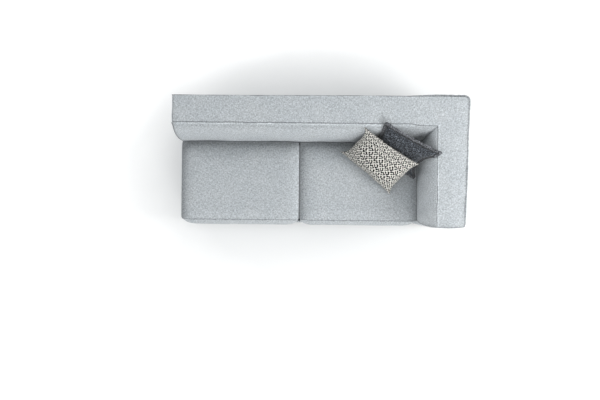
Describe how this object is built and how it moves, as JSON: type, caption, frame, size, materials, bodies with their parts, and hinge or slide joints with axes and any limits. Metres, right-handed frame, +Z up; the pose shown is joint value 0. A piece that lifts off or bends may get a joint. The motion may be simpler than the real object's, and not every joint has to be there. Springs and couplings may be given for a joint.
{
  "type": "sectional sofa unit",
  "caption": "One-arm sectional sofa unit with a padded back as high as the arm, boxed seat cushions, loose scatter cushions and an open end that docks to another unit.",
  "frame": {"origin": "on the floor, under the middle of the unit's width and depth", "axes": "+X to the arm, +Y to the back, +Z up"},
  "size_m": [2.2988, 1.0198, 0.8077],
  "materials": {
    "timber": "matte",
    "plywood": "satin",
    "hardboard": "matte",
    "foam": "matte",
    "felt": "matte",
    "grey_cloth": "matte",
    "dark_lining": "matte",
    "charcoal_cloth": "matte",
    "patterned_cloth": "matte",
    "steel": "satin",
    "foot_plastic": "satin",
    "fibre_fill": "matte"
  },
  "bodies": {
    "frame": {"front_rail": "timber", "rear_rail": "timber", "left_rail": "timber", "right_rail": "timber", "seat_back_rail": "timber", "arm_rail": "timber", "centre_rail": "timber", "spring_batten_front": "timber", "spring_batten_rear": "timber", "corner_block_front_left": "timber", "corner_block_front_right": "timber", "corner_block_rear_right": "timber", "corner_block_rear_left": "timber", "back_rib_1": "plywood", "back_rib_2": "plywood", "back_rib_3": "plywood", "back_end_panel": "plywood", "arm_rib_1": "plywood", "arm_rib_2": "plywood", "arm_rib_3": "plywood", "back_top_rail": "timber", "arm_top_rail": "timber", "back_inside_board": "hardboard", "arm_inside_board": "hardboard", "back_rear_board": "hardboard", "arm_outer_board": "hardboard", "seat_spring_1": "steel", "seat_spring_2": "steel", "seat_spring_3": "steel", "seat_spring_4": "steel", "seat_spring_5": "steel", "seat_spring_6": "steel", "spring_felt": "felt", "deck_cloth": "dark_lining", "back_pad": "foam", "arm_pad": "foam", "arm_outer_wedge": "foam", "back_cover": "grey_cloth", "arm_cover": "grey_cloth", "base_front_cover": "grey_cloth", "base_side_cover": "grey_cloth", "dust_cover": "dark_lining", "foot_front_left": "foot_plastic", "foot_rear_left": "foot_plastic", "foot_front_middle": "foot_plastic", "foot_rear_middle": "foot_plastic", "foot_front_right": "foot_plastic", "foot_rear_right": "foot_plastic", "docking_plate_front": "steel", "docking_plate_rear": "steel"},
    "seat_left": {"seat_left_cover": "grey_cloth", "seat_left_core": "foam", "seat_left_zip": "dark_lining"},
    "seat_right": {"seat_right_cover": "grey_cloth", "seat_right_core": "foam", "seat_right_zip": "dark_lining"},
    "grey_cushion": {"grey_cushion_cover": "charcoal_cloth", "grey_cushion_fill": "fibre_fill"},
    "patterned_cushion": {"patterned_cushion_cover": "patterned_cloth", "patterned_cushion_fill": "fibre_fill"}
  },
  "joints": [
    {"name": "seat_left_lift", "type": "slide", "parent": "frame", "child": "seat_left", "axis": [0, 0, 1], "range_m": [0, 0.6]},
    {"name": "seat_right_lift", "type": "slide", "parent": "frame", "child": "seat_right", "axis": [0, 0, 1], "range_m": [0, 0.6]},
    {"name": "grey_cushion_lift", "type": "slide", "parent": "seat_right", "child": "grey_cushion", "axis": [0, 0, 1], "range_m": [0, 0.4]},
    {"name": "patterned_cushion_lift", "type": "slide", "parent": "grey_cushion", "child": "patterned_cushion", "axis": [0, 0, 1], "range_m": [0, 0.4]}
  ]
}
